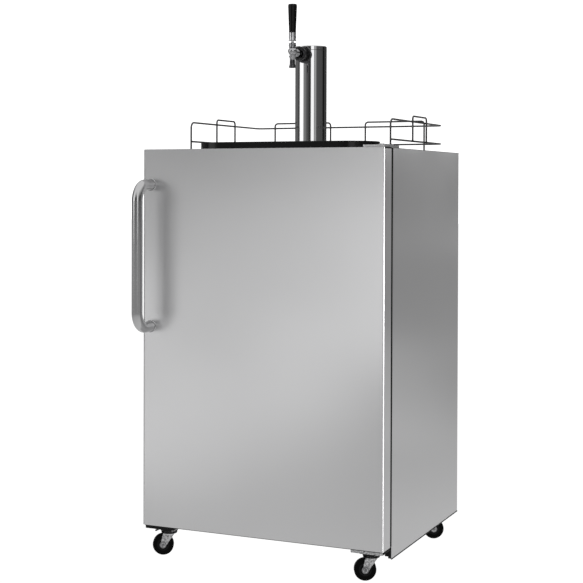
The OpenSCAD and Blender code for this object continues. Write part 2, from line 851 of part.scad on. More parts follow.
// Keg tap parked on top of the hump, with lugs below and side ports
module keg_coupler() {
    color("silver") translate(coupler) {
        difference() {
            cylinder(r = 33, h = 18);
            translate([0, 0, -1]) cylinder(r = 24, h = 13);
            for (s = [-1, 1]) translate([s * 33, 0, -1]) cylinder(r = 12, h = 10);
        }
        translate([0, 0, 18]) cylinder(r1 = 30, r2 = 20, h = 8);
        translate([0, 0, 18]) cylinder(r = 16, h = 72);
        translate([0, 0, 78]) cylinder(r = 15, h = 14, $fn = 6);
        translate([0, 0, 92]) cylinder(r = 5.5, h = 18);
        bar([0, 0, 30], [34, 0, 30], 9);
        bar([34, 0, 30], [46, 0, 30], 5);
        bar([-24.5, 0, 55], [24.5, 0, 55], 4);
    }
}

// Forked handle on the coupler's cross pin, raised while the coupler is off a keg
module coupler_lever() {
    reach = 96;
    cheek = 4;
    inner = 17;
    color("black") translate(coupler_pivot) rotate([-coupler_rest, 0, 0]) difference() {
        union() {
            for (s = [-1, 1]) translate([s * (inner + cheek / 2), 0, 0]) {
                rotate([0, 90, 0]) cylinder(r = 9, h = cheek, center = true);
                block([-cheek / 2, -34, -6], [cheek / 2, 0, 6]);
            }
            block([-inner - cheek, -42, -6], [inner + cheek, -34, 6]);
            bar([0, -40, 0], [0, -reach, 0], 8);
            translate([0, -reach, 0]) sphere(8);
        }
        rotate([0, 90, 0]) cylinder(r = 4 + running_gap, h = 60, center = true);
    }
}

// A smooth curve through hand-set points, in equal steps between them
function knot(p, i) = p[max(0, min(len(p) - 1, i))];
function spline(p, i, t) = 0.5 * (2 * p[i] + (knot(p, i + 1) - knot(p, i - 1)) * t
    + (2 * knot(p, i - 1) - 5 * p[i] + 4 * knot(p, i + 1) - knot(p, i + 2)) * t * t
    + (3 * p[i] - knot(p, i - 1) - 3 * knot(p, i + 1) + knot(p, i + 2)) * t * t * t);
function smooth(p, steps) = [for (i = [0:len(p) - 2], s = [0:steps - 1]) spline(p, i, s / steps),
    p[len(p) - 1]];

// A hose swept along its points as one closed skin
module hose(points, r, sides, across) {
    path = smooth(points, 3);
    last = len(path) - 1;
    rings = [for (i = [0:last])
        let (along = unit(path[min(i + 1, last)] - path[max(i - 1, 0)]),
            u = unit(cross(along, across)), v = cross(along, u))
        each [for (k = [0:sides - 1]) path[i] + r * (u * cos(k * 360 / sides) + v * sin(k * 360 / sides))]];
    walls = [for (i = [0:last - 1], k = [0:sides - 1])
        let (n = (k + 1) % sides)
        [i * sides + k, (i + 1) * sides + k, (i + 1) * sides + n, i * sides + n]];
    start = [for (k = [0:sides - 1]) k];
    end = [for (k = [sides - 1:-1:0]) last * sides + k];
    polyhedron(points = rings, faces = concat([start], walls, [end]));
}

module beer_line() {
    color("gainsboro") hose(beer_route, beer_r, 10, [1, 0.6, 0]);
}

module gas_line() {
    color("firebrick") hose(gas_route, gas_r, 10, [0.5, 1, 0.4]);
}

// ---- Door ----

module door_skin() {
    edge_r = 3;
    lip = 8;
    color("silver") difference() {
        rounded_plate([-half_w, half_w], [door_y, door_back_y + 2 * edge_r], [door_z, top_z], edge_r);
        block([-half_w - 1, door_back_y, door_z - 1], [half_w + 1, door_back_y + 20, top_z + 1]);
        block([-inner_w, door_y + sheet_t, door_z + sheet_t], [inner_w, door_back_y + 1, top_z - sheet_t]);
        translate([hinge_x, hinge_y, 0]) cylinder(r = pin_r + running_gap, h = 2 * top_z);
    }
}

module door_foam() {
    bush_r = 8;
    color("khaki") {
        difference() {
            block([-inner_w, door_y + sheet_t, door_z + sheet_t],
                [inner_w, door_back_y - liner_t, top_z - sheet_t]);
            for (z = [door_z - 1, top_z - 40])
                translate([hinge_x, hinge_y, z]) cylinder(r = bush_r, h = 41);
        }
    }
}

// White inner panel with a raised ridge that stands inside the cabinet's mouth
module door_liner() {
    ridge_x = 244;
    ridge_w = 26;
    ridge_z = [128, 912];
    ridge_h = 20;
    color("white") difference() {
        union() {
            block([-inner_w, door_back_y - liner_t, door_z + sheet_t],
                [inner_w, door_back_y, top_z - sheet_t]);
            block([-ridge_x, door_back_y, ridge_z[0]], [ridge_x, door_back_y + ridge_h, ridge_z[1]]);
        }
        block([ridge_w - ridge_x, door_back_y, ridge_z[0] + ridge_w],
            [ridge_x - ridge_w, door_back_y + ridge_h + 1, ridge_z[1] - ridge_w]);
    }
}

module door_gasket() {
    outer_x = hinge_x - 3;
    band = 24;
    z = [door_z + 20, top_z - 18];
    y = [door_back_y, cab_y - part_gap];
    color("dimgray") difference() {
        block([-outer_x, y[0], z[0]], [outer_x, y[1], z[1]]);
        block([band - outer_x, y[0] - 1, z[0] + band], [outer_x - band, y[1] + 1, z[1] - band]);
        difference() {
            block([-outer_x - 1, y[0] + 3, z[0] - 1], [outer_x + 1, y[1] - 3, z[1] + 1]);
            block([5 - outer_x, y[0], z[0] + 5], [outer_x - 5, y[1], z[1] - 5]);
        }
    }
}

module door_handle() {
    handle_x = 19 - half_w;
    tube_y = door_y - handle_standoff;
    z = [handle_z - handle_span / 2, handle_z + handle_span / 2];
    color("silver") bent_bar([[handle_x, door_y, z[0]], [handle_x, tube_y, z[0]],
        [handle_x, tube_y, z[1]], [handle_x, door_y, z[1]]], handle_r, 38, handle_r - 1.5);
}

// ---- Casters ----

// Four top plates with their fixed swivel posts
module caster_plates() {
    color("darkgray") for (i = [0:3]) translate([caster_spots[i].x, caster_spots[i].y, 0]) {
        rounded_plate([-26, 26], [-26, 26], [swivel_top, i < 2 ? bracket_z : base_z], 4);
        translate([0, 0, swivel_top - 9]) cylinder(r = 5, h = 9);
    }
}

// Crown, two tapered legs and the riveted axle, drawn with the wheel towards -X
module caster_fork(i) {
    leg_t = 2;
    leg_in = wheel_w / 2 + 1;
    crown_z = [52, swivel_top - part_gap];
    color("silver") translate([caster_spots[i].x, caster_spots[i].y, 0]) rotate([0, 0, caster_heading[i]]) {
        difference() {
            union() {
                translate([0, 0, crown_z[0]]) cylinder(r = 17, h = 3);
                translate([0, 0, crown_z[0] + 3]) cylinder(r1 = 17, r2 = 20, h = 3);
                translate([0, 0, crown_z[0] + 6]) cylinder(r = 20, h = crown_z[1] - crown_z[0] - 6);
            }
            translate([0, 0, crown_z[0] + 1.5]) cylinder(r = 5 + running_gap, h = 20);
        }
        for (s = [-1, 1]) translate([0, s * (leg_in + leg_t / 2), 0]) rotate([90, 0, 0])
            linear_extrude(leg_t, center = true) {
                polygon([[-caster_trail - 6.5, wheel_r - 2], [-caster_trail + 5, wheel_r - 5],
                    [13, crown_z[0]], [13, crown_z[0] + 2], [-13, crown_z[0] + 2], [-15, crown_z[0] - 4]]);
                translate([-caster_trail, wheel_r]) circle(7);
            }
        translate([-caster_trail, 0, wheel_r]) rotate([90, 0, 0])
            cylinder(r = axle_r, h = 2 * (leg_in + leg_t + 1), center = true);
        for (s = [-1, 1]) translate([-caster_trail, s * (leg_in + leg_t + 1), wheel_r]) rotate([90, 0, 0])
            cylinder(r = 5.5, h = 2, center = true);
    }
}

module wheel(i) {
    edge_r = 3;
    groove = 2;
    color("black") translate([caster_spots[i].x, caster_spots[i].y, 0]) rotate([0, 0, caster_heading[i]])
        translate([-caster_trail, 0, wheel_r]) rotate([90, 0, 0]) rotate_extrude() difference() {
            union() {
                translate([axle_r + running_gap, -wheel_w / 2 - 0.6]) square([4, wheel_w + 1.2]);
                translate([axle_r + running_gap, groove - wheel_w / 2]) square([14, wheel_w - 2 * groove]);
                translate([wheel_r - 10, -wheel_w / 2]) square([10 - edge_r, wheel_w]);
                translate([wheel_r - 10, edge_r - wheel_w / 2]) square([10, wheel_w - 2 * edge_r]);
                for (s = [-1, 1]) translate([wheel_r - edge_r, s * (wheel_w / 2 - edge_r)]) circle(edge_r);
            }
        }
}

module caster_fork_front_left() {
    caster_fork(0);
}

module caster_fork_front_right() {
    caster_fork(1);
}

module caster_fork_rear_left() {
    caster_fork(2);
}

module caster_fork_rear_right() {
    caster_fork(3);
}

module wheel_front_left() {
    wheel(0);
}

module wheel_front_right() {
    wheel(1);
}

module wheel_rear_left() {
    wheel(2);
}

module wheel_rear_right() {
    wheel(3);
}

side_panel_left();
side_panel_right();
top_panel();
back_panel();
base_pan();
front_frame();
cabinet_foam();
inner_liner();
floor_plate();
evaporator_cover();
evaporator_unit();
evaporator_fan();
thermostat_box();
thermostat_knob();
compressor();
condenser();
rear_cover();
cord_gland();
left_bracket();
lower_hinge();
upper_hinge();
drip_tray();
drip_grille();
guard_rail();
tower_flange();
tower_column();
tower_cap();
shank();
coupling_nut();
faucet_body();
faucet_bonnet();
faucet_shaft();
faucet_lever();
tap_ferrule();
tap_handle();
co2_cylinder();
cylinder_valve();
valve_handwheel();
regulator();
pressure_gauges();
regulator_knob();
keg_coupler();
coupler_lever();
beer_line();
gas_line();
door_skin();
door_foam();
door_liner();
door_gasket();
door_handle();
caster_plates();
caster_fork_front_left();
caster_fork_front_right();
caster_fork_rear_left();
caster_fork_rear_right();
wheel_front_left();
wheel_front_right();
wheel_rear_left();
wheel_rear_right();
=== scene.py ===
import json
import math

import bmesh
import bpy
from mathutils import Matrix, Vector


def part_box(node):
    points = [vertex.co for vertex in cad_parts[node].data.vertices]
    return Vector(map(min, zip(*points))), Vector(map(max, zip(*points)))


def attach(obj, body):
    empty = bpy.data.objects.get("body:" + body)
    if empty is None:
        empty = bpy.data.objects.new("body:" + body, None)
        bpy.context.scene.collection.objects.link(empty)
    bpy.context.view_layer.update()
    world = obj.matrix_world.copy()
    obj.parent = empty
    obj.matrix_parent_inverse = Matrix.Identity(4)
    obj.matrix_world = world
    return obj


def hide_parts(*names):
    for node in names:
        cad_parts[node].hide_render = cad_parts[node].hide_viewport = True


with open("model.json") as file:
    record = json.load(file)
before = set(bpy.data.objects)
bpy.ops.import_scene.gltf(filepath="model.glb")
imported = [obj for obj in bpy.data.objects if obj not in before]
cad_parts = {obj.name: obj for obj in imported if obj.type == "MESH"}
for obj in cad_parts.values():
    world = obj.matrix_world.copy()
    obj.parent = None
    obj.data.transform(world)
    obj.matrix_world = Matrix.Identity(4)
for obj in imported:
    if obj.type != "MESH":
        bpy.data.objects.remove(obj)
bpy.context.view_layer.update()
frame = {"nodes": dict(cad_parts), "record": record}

# Pieces are drawn in millimetres in the frame of the CAD and stored in metres. The stage, with its
# lights and camera, is in metres throughout.
MM = 0.001
AXES = {
    "x": Matrix(((0, 0, 1), (1, 0, 0), (0, 1, 0))),
    "y": Matrix(((0, 1, 0), (0, 0, 1), (1, 0, 0))),
    "z": Matrix.Identity(3),
}
scene = bpy.context.scene
materials = {}
joints = {row["name"]: row for row in frame["record"]["behaviour"]["joints"]}


def span(node):
    """Lowest and highest corner of a CAD node, in millimetres."""
    low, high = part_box(node)
    return low / MM, high / MM


def middle(node):
    low, high = span(node)
    return (low + high) / 2


def joint_place(name):
    return Vector(joints[name]["pos_m"]) / MM


# ---- Materials ----


def add(material, kind, inputs=None, **settings):
    """A node with its settings and its inputs, which are values or other nodes' outputs."""
    node = material.node_tree.nodes.new(kind)
    for key, value in settings.items():
        setattr(node, key, value)
    for key, value in (inputs or {}).items():
        if isinstance(value, bpy.types.NodeSocket):
            material.node_tree.links.new(value, node.inputs[key])
        else:
            node.inputs[key].default_value = value
    return node


def noise(material, scale, detail=3.0):
    """Noise over the object's own coordinates; scale is in features a metre along x, y and z."""
    where = add(material, "ShaderNodeTexCoord").outputs["Object"]
    stretched = add(material, "ShaderNodeMapping", {"Vector": where, "Scale": scale})
    return add(material, "ShaderNodeTexNoise",
               {"Vector": stretched.outputs[0], "Scale": 1.0, "Detail": detail}).outputs[0]


def between(material, factor, low, high):
    """Maps a noise, which stays mostly between 0.3 and 0.7, onto low to high."""
    return add(material, "ShaderNodeMapRange",
               {"Value": factor, 1: 0.3, 2: 0.7, 3: low, 4: high}).outputs[0]


def blended(material, factor, low, high):
    """A colour between two others."""
    return add(material, "ShaderNodeMix", {0: factor, 6: (*low, 1), 7: (*high, 1)},
               data_type="RGBA").outputs[2]


def shade(colour, share):
    return tuple(min(1.0, c * share) for c in colour)


def surface(name, colour, rough, metal=0.0, mottle=0.05, patch=14, spread=0.05,
            grain=(700, 700, 700), depth=0.0, **sockets):
    """A finish whose colour and roughness drift over patches, with a fine grain in its relief."""
    material = bpy.data.materials.new(name)
    material.use_nodes = True
    shader = material.node_tree.nodes["Principled BSDF"]
    shader.inputs["Metallic"].default_value = metal
    for key, value in sockets.items():
        shader.inputs[key.replace("_", " ")].default_value = value
    slow = noise(material, (patch, patch, patch))
    fine = noise(material, grain, 2.0)
    links = material.node_tree.links
    mixed = between(material, slow, 0, 1)
    links.new(blended(material, mixed, shade(colour, 1 - mottle), shade(colour, 1 + mottle)),
              shader.inputs["Base Color"])
    both = add(material, "ShaderNodeMath", {0: slow, 1: fine}, operation="ADD").outputs[0]
    halved = add(material, "ShaderNodeMath", {0: both, 1: 0.5}, operation="MULTIPLY").outputs[0]
    links.new(between(material, halved, rough - spread, rough + spread), shader.inputs["Roughness"])
    if depth:
        relief = add(material, "ShaderNodeBump",
                     {"Height": fine, "Distance": depth * MM, "Strength": 1.0})
        links.new(relief.outputs[0], shader.inputs["Normal"])
    materials[name] = material


STEEL = (0.60, 0.60, 0.605)


def make_materials():
    surface("stainless", STEEL, 0.30, metal=1, mottle=0.015, patch=3, spread=0.025,
            grain=(9, 9, 2600), depth=0.0004, Anisotropic=0.35)
    # Painted highlight: a lighter copy of the sheet steel for the door's folds; their bright line also
    # comes from their own lamp.
    surface("fold_highlight_steel", (0.66, 0.66, 0.665), 0.44, metal=1, mottle=0.03, patch=8)
    surface("stainless_flat", STEEL, 0.32, metal=1, mottle=0.015, patch=3, spread=0.025,
            grain=(9, 2600, 9), depth=0.0004)
    surface("polished_steel", (0.78, 0.78, 0.785), 0.06, metal=1, mottle=0.01, spread=0.02,
            grain=(900, 900, 8), depth=0.0006)
    surface("satin_tube", (0.55, 0.55, 0.555), 0.13, metal=1, mottle=0.02, spread=0.03,
            grain=(900, 900, 14), depth=0.002)
    # Painted shade: the rail's chrome is darkened almost to black, for the dark look of its reflections.
    surface("chrome_wire", (0.11, 0.11, 0.112), 0.16, metal=1, mottle=0.1, patch=40)
    surface("chrome", (0.80, 0.80, 0.81), 0.07, metal=1, mottle=0.02, spread=0.02)
    # Painted shade: a darkened copy of the chrome, with dark speckles for the faucet's self-shading and
    # the dark top it reflects.
    surface("shade_speckled_chrome", (0.50, 0.50, 0.51), 0.11, metal=1, mottle=0.6, patch=420, depth=0.06,
            grain=(300, 300, 300))
    # Painted shade: a chrome darkened almost to black, with dark speckles, for the dark reflections on
    # the nuts, shank and spout end.
    surface("shaded_chrome", (0.09, 0.09, 0.093), 0.2, metal=1, mottle=0.6, patch=500, depth=0.06,
            grain=(320, 320, 320))
    surface("galvanised", (0.50, 0.51, 0.52), 0.42, metal=1, mottle=0.10, patch=60, depth=0.01,
            grain=(300, 300, 300))
    surface("grey_steel", (0.42, 0.42, 0.43), 0.45, mottle=0.04, depth=0.01)
    surface("zinc", (0.40, 0.40, 0.405), 0.22, metal=1, mottle=0.75, patch=230, depth=0.02,
            grain=(260, 260, 260))
    surface("foam", (0.80, 0.70, 0.42), 0.8, mottle=0.1, patch=90, depth=0.2)
    surface("white_liner", (0.93, 0.93, 0.92), 0.28, mottle=0.015, depth=0.006,
            grain=(160, 160, 160))
    surface("coil_aluminium", (0.72, 0.73, 0.74), 0.34, metal=1, mottle=0.06, patch=80)
    surface("copper", (0.72, 0.36, 0.22), 0.28, metal=1, mottle=0.12, patch=60)
    surface("black_plastic", (0.028, 0.028, 0.029), 0.42, mottle=0.12, depth=0.02)
    surface("black_enamel", (0.007, 0.007, 0.0075), 0.30, mottle=0.15, depth=0.008,
            grain=(240, 240, 240), Specular_IOR_Level=0.12)
    surface("black_tray", (0.006, 0.006, 0.006), 0.2, mottle=0.1, depth=0.008,
            grain=(420, 420, 420), Specular_IOR_Level=0.3)
    surface("black_gloss", (0.005, 0.005, 0.005), 0.24, mottle=0.1, spread=0.03,
            Specular_IOR_Level=0.22)
    surface("bottle_aluminium", (0.70, 0.71, 0.72), 0.32, metal=1, mottle=0.04,
            grain=(40, 40, 800), depth=0.004)
    surface("brass", (0.74, 0.54, 0.26), 0.22, metal=1, mottle=0.08, patch=70)
    surface("gauge_case", (0.70, 0.70, 0.71), 0.16, metal=1, mottle=0.03)
    surface("dial_white", (0.86, 0.86, 0.84), 0.5, mottle=0.02)
    surface("ink_black", (0.02, 0.02, 0.02), 0.5, mottle=0.1)
    surface("ink_red", (0.55, 0.03, 0.02), 0.45, mottle=0.1)
    surface("lens", (0.96, 0.97, 0.97), 0.05, mottle=0.01, spread=0.01, Transmission_Weight=1.0,
            IOR=1.3)
    surface("beer_hose", (0.80, 0.80, 0.76), 0.22, mottle=0.03, patch=40, Transmission_Weight=0.35)
    surface("gas_hose", (0.45, 0.035, 0.03), 0.38, mottle=0.08, depth=0.01)
    surface("gasket_rubber", (0.012, 0.012, 0.012), 0.6, mottle=0.1, depth=0.01,
            Specular_IOR_Level=0.15)
    surface("wheel_rubber", (0.003, 0.003, 0.003), 0.42, mottle=0.2, patch=60, depth=0.02,
            Specular_IOR_Level=0.04)
    surface("grey_hub", (0.006, 0.006, 0.0065), 0.4, mottle=0.1, patch=60, depth=0.01,
            Specular_IOR_Level=0.1)
    surface("bright_plate", (0.90, 0.90, 0.905), 0.42, metal=1, mottle=0.05, patch=60, depth=0.004)
    surface("dark_pin", (0.20, 0.20, 0.205), 0.3, metal=1, mottle=0.3, patch=300, depth=0.01)


def coat_cad_nodes():
    """Gives every CAD node its finish: its material slot's, or one named here."""
    # The coupling nut and shank take a chrome darkened as painted shade.
    special = {"top_panel": "stainless_flat", "floor_plate": "stainless_flat",
               "door_handle": "satin_tube", "upper_hinge": "bright_plate",
               "coupling_nut": "shaded_chrome", "shank": "shaded_chrome"}
    for part in frame["record"]["subparts"]:
        node = frame["nodes"][part["node"]]
        node.data.materials.clear()
        node.data.materials.append(materials[special.get(part["node"], part["material_slot"])])


# ---- Drawing ----


def lathe(bm, profile, at, axis="z", sides=32):
    """Turns a (radius, height) profile round an axis; off the axis it closes into a ring."""
    turned = AXES[axis] if isinstance(axis, str) else axis
    rows = []
    for i in range(sides):
        a = math.tau * i / sides
        rows.append([bm.verts.new(Vector(at) + turned @ Vector((r * math.cos(a), r * math.sin(a), h)))
                     for r, h in profile])
    ring = profile[0][0] > 0 and profile[-1][0] > 0
    steps = range(len(profile) if ring else len(profile) - 1)
    for i in range(sides):
        here, there = rows[i], rows[(i + 1) % sides]
        for k in steps:
            n = (k + 1) % len(profile)
            bm.faces.new((here[k], there[k], there[n], here[n]))


def smooth_path(points, steps=6):
    """A curve through points, as closely spaced points of its own."""
    path, p = [], [Vector(q) for q in points]
    for i in range(len(p) - 1):
        a, b, c, d = p[max(i - 1, 0)], p[i], p[i + 1], p[min(i + 2, len(p) - 1)]
        for s in range(steps):
            t = s / steps
            path.append(0.5 * (2 * b + (c - a) * t + (2 * a - 5 * b + 4 * c - d) * t ** 2
                               + (3 * b - a - 3 * c + d) * t ** 3))
    return path + [p[-1]]


def tube(bm, points, r, sides=16, closed=False):
    """A round bar along points, with flat ends unless it is closed on itself."""
    p = [Vector(q) for q in points]
    rings, up = [], None
    for i, here in enumerate(p):
        if closed:
            along = (p[(i + 1) % len(p)] - p[i - 1]).normalized()
        else:
            along = (p[min(i + 1, len(p) - 1)] - p[max(i - 1, 0)]).normalized()
        if up is None:
            up = along.orthogonal().normalized()
        up = (up - along * up.dot(along)).normalized()
        side = along.cross(up)
        rings.append([bm.verts.new(here + r * (up * math.cos(math.tau * k / sides)
                                               + side * math.sin(math.tau * k / sides)))
                      for k in range(sides)])
    for i in range(len(rings) if closed else len(rings) - 1):
        a, b = rings[i], rings[(i + 1) % len(rings)]
        for k in range(sides):
            n = (k + 1) % sides
            bm.faces.new((a[k], a[n], b[n], b[k]))
    if not closed:
        bm.faces.new(rings[0][::-1])
        bm.faces.new(rings[-1])


def block(bm, low, high, bevel=0.0, turn=None):
    """A box with softened edges, turned about its own middle."""
    low, high = Vector(low), Vector(high)
    size = high - low
    made = bmesh.ops.create_cube(bm, size=1)["verts"]
    bmesh.ops.scale(bm, vec=size, verts=made)
    if bevel:
        edges = list({edge for vert in made for edge in vert.link_edges})
        made = bmesh.ops.bevel(bm, geom=edges, offset=bevel, segments=2, affect="EDGES",
                               profile=0.5)["verts"]
    if turn:
        bmesh.ops.transform(bm, matrix=turn.to_4x4(), verts=made)
    bmesh.ops.translate(bm, vec=(low + high) / 2, verts=made)


def screw(bm, at, axis="z", r=4.0, sign=1):
    """A pan head with a cross recess."""
    turned = AXES[axis]
    sides, rings = 24, (0.0, 0.15, 0.3, 0.45, 0.55, 0.7, 0.85, 0.95, 1.0, 1.0)
    heights = (0.62, 0.62, 0.61, 0.6, 0.58, 0.53, 0.42, 0.28, 0.16, 0.0)
    rows = []
    for i in range(sides):
        a = math.tau * i / sides
        row = []
        for share, rise in zip(rings, heights):
            cut = share <= 0.15 or (i % 6 == 0 and share <= 0.5)
            h = r * (rise - (0.35 if cut else 0))
            row.append(bm.verts.new(Vector(at) + turned @ Vector(
                (share * r * math.cos(a), share * r * math.sin(a), sign * h))))
        rows.append(row)
    for i in range(sides):
        here, there = rows[i], rows[(i + 1) % sides]
        for k in range(len(rings) - 1):
            bm.faces.new((here[k], there[k], there[k + 1], here[k + 1]))
    bm.faces.new([row[-1] for row in rows])


def bolt(bm, at, axis="z", r=5.0, sign=1):
    """A hexagon head on its washer."""
    lathe(bm, [(0, 0), (1.5 * r, 0), (1.5 * r, sign * 0.8), (0, sign * 0.8)], at, axis)
    lathe(bm, [(0, sign * 0.8), (r, sign * 0.8), (r, sign * 0.62 * r), (0.86 * r, sign * 0.75 * r),
               (0, sign * 0.75 * r)], at, axis, 6)


def letters(bm, text, at, size):
    """Flat characters that face the front."""
    curve = bpy.data.curves.new("dial_text", "FONT")
    curve.body, curve.size, curve.extrude = text, size, 0.12
    curve.align_x = curve.align_y = "CENTER"
    holder = bpy.data.objects.new("dial_text", curve)
    mesh = holder.to_mesh()
    mesh.transform(Matrix.Translation(at) @ Matrix.Rotation(math.pi / 2, 4, "X"))
    bm.from_mesh(mesh)
    bpy.data.objects.remove(holder)
    bpy.data.curves.remove(curve)


def piece(name, bm, material, body, *stands_for, angle=35):
    """Makes a mesh drawn in millimetres into a piece that rides on a body."""
    bmesh.ops.remove_doubles(bm, verts=bm.verts, dist=0.001)
    bmesh.ops.recalc_face_normals(bm, faces=bm.faces)
    mesh = bpy.data.meshes.new(name)
    bm.to_mesh(mesh)
    bm.free()
    mesh.transform(Matrix.Scale(MM, 4))
    mesh.shade_smooth()
    mesh.set_sharp_from_angle(angle=math.radians(angle))
    mesh.materials.append(materials[material])
    made = bpy.data.objects.new(name, mesh)
    scene.collection.objects.link(made)
    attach(made, body)
    if stands_for:
        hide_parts(*stands_for)
    return made


# ---- Cabinet details ----


def add_cabinet_details():
    back = span("back_panel")[1].y + 1
    bm = bmesh.new()
    for x in (-294.5, 294.5):
        for z in (112, 300, 470, 640, 810, 936):
            screw(bm, (x, back, z), "y", 3.4)
    cover_low, cover_high = span("rear_cover")
    for x in (-278, -95, 95, 278):
        for z in (cover_low.z + 12, cover_high.z - 10):
            screw(bm, (x, cover_high.y, z), "y", 3.6)
    piece("back_screws", bm, "zinc", "cabinet")

    hinge_top = span("upper_hinge")[1].z
    pin = joint_place("door_hinge")
    bm = bmesh.new()
    for x in (262, 284):
        for y in (-176, -152):
            screw(bm, (x, y, hinge_top), "z", 4.6)
    lathe(bm, [(0, 0), (7.5, 0), (7.5, 1), (5.5, 2.4), (0, 2.8)], (pin.x, pin.y, hinge_top))
    piece("hinge_screws", bm, "zinc", "cabinet")

    flange_top = span("tower_flange")[1].z
    axis = middle("tower_flange")
    bm = bmesh.new()
    for i in range(4):
        a = math.radians(45 + 90 * i)
        screw(bm, (axis.x + 45.5 * math.cos(a), axis.y + 45.5 * math.sin(a), flange_top), "z", 3.2)
    piece("flange_screws", bm, "chrome", "cabinet")

    low, high = span("tower_cap")
    reach = (high.x - low.x) / 2
    seam = span("tower_column")[1].z
    bm = bmesh.new()
    lathe(bm, [(reach - 1, seam - 0.5), (reach + 0.12, seam - 0.5), (reach + 0.12, seam + 0.5),
               (reach - 1, seam + 0.5)], (axis.x, axis.y, 0), sides=96)
    piece("cap_seam", bm, "ink_black", "cabinet")

    low, high = span("guard_rail")
    steel_top = span("top_panel")[1].z
    bm = bmesh.new()
    for s in (-1, 1):
        for x, y in ((258, low.y + 2.2), (49, high.y - 2.2), (210, high.y - 2.2)):
            lathe(bm, [(2.3, 0), (6.4, 0), (6.4, 0.8), (5.4, 1.9), (2.3, 2.4)],
                  (s * x, y, steel_top), sides=24)
    # The flanges share the rail's chrome, darkened as painted shade.
    piece("rail_flanges", bm, "chrome_wire", "cabinet")


def add_machine_bay():
    floor = span("compressor")[0].z
    centre = Vector((-150, 250))
    bm = bmesh.new()
    lathe(bm, [(58, 97), (61.4, 97.6), (62.2, 99), (61.4, 100.4), (58, 101)], (*centre, floor), sides=72)
    lathe(bm, [(0, 178), (9, 178), (9, 180.5), (7, 181.5), (0, 181.5)], (*centre, floor - 0.6))
    piece("shell_seam", bm, "black_enamel", "cabinet")
    bm = bmesh.new()
    for x in (-78, 78):
        for y in (-42, 42):
            bolt(bm, (centre.x + x, centre.y + y, floor + 13), "z", 6)
    piece("compressor_bolts", bm, "zinc", "cabinet")
    bm = bmesh.new()
    block(bm, (-64, 222, 122), (-58, 278, 186), 2.4)
    for z in (138, 154, 170):
        block(bm, (-58.6, 226, z - 1), (-56.6, 274, z + 1), 0.6)
    lathe(bm, [(4.2, 0), (7, 0), (7, 9), (5, 13), (4.2, 13)], (-58, 250, 128), "x", 20)
    piece("relay_cover", bm, "black_plastic", "cabinet")
    bm = bmesh.new()
    tube(bm, smooth_path([(-56, 250, 128), (-40, 256, 124), (-24, 284, 100), (10, 306, 83),
                          (90, 311, 80), (180, 311, 81), (232, 311, 88), (252, 309, 100),
                          (255, 315, 103), (255, 322, 103)]), 3.6)
    piece("inner_lead", bm, "black_plastic", "cabinet")
    bm = bmesh.new()
    tube(bm, smooth_path([(-98, 234, 196), (-80, 232, 212), (-52, 228, 214), (-16, 220, 190),
                          (8, 216, 140), (26, 215, 104), (38, 215, 96), (52, 215, 95)]), 3.1)
    tube(bm, smooth_path([(-204, 250, 196), (-220, 250, 204), (-231, 250, 226), (-232, 250, 262),
                          (-232, 250, 285)]), 4)
    tube(bm, smooth_path([(-128, 304, 150), (-122, 312, 158), (-120, 315, 178), (-120, 315, 206)]), 2.6)
    tube(bm, smooth_path([(52, 275, 225), (38, 275, 226), (26, 280, 226), (20, 288, 220),
                          (20, 290, 206)]), 2.6)
    loops = [(-8 + 13 * math.cos(0.5 * i), 290, 112 + 2.2 * i + 13 * math.sin(0.5 * i))
             for i in range(38)]
    tube(bm, smooth_path([(20, 290, 122), (18, 290, 110)] + loops + [(-30, 290, 230),
                         (-32, 288, 285)], 3), 1.1, 8)
    piece("refrigerant_tubes", bm, "copper", "cabinet")
    bm = bmesh.new()
    lathe(bm, [(0, 122), (3, 122), (4, 128), (9.5, 134), (9.5, 196), (4, 204), (3, 210), (0, 210)],
          (20, 290, 0), sides=28)
    piece("filter_drier", bm, "copper", "cabinet")
    bm = bmesh.new()
    for z, y in ((225, 215), (95, 245)):
        arc = [(50 - 15 * math.sin(math.radians(a)), y + 15 - 15 * math.cos(math.radians(a)), z)
               for a in range(0, 181, 15)]
        tube(bm, arc, 3.5)
    piece("condenser_bends", bm, "black_enamel", "cabinet")


def add_cooling_details():
    low, high = span("thermostat_knob")
    knob = (low + high) / 2
    face = span("thermostat_box")[0].y
    reach = (high.x - low.x) / 2
    bm = bmesh.new()
    for i in range(9):
        a = math.radians(225 - 33.75 * i)
        turn = Matrix.Rotation(-a, 3, "Y")
        out = reach + 3.5
        at = Vector((knob.x + out * math.cos(a), face - 0.15, knob.z + out * math.sin(a)))
        half = Vector((1.6, 0.2, 0.35))
        block(bm, at - half, at + half, turn=turn)
        if i % 2 == 0:
            letters(bm, str(i // 2 + 1), (knob.x + (reach + 8.5) * math.cos(a), face - 0.1,
                                          knob.z + (reach + 8.5) * math.sin(a)), 5.5)
    piece("thermostat_scale", bm, "ink_black", "cabinet")
    bm = bmesh.new()
    block(bm, (knob.x - 0.9, low.y - 0.4, knob.z + reach * 0.25),
          (knob.x + 0.9, low.y + 0.4, knob.z + reach * 0.9), 0.3)
    piece("thermostat_pointer", bm, "dial_white", "thermostat_knob")

    low, high = span("evaporator_cover")
    bm = bmesh.new()
    for x in (low.x + 12, high.x - 12):
        for z in (low.z + 12, high.z - 12):
            screw(bm, (x, low.y, z), "y", 4, -1)
    piece("evaporator_screws", bm, "zinc", "cabinet")
    low, high = span("evaporator_unit")
    bm = bmesh.new()
    for i in range(27):
        x = -104 + 8 * i
        block(bm, (x - 0.25, high.y - 16, low.z + 2), (x + 0.25, high.y - 0.5, low.z + 132))
    piece("evaporator_fins", bm, "coil_aluminium", "cabinet")


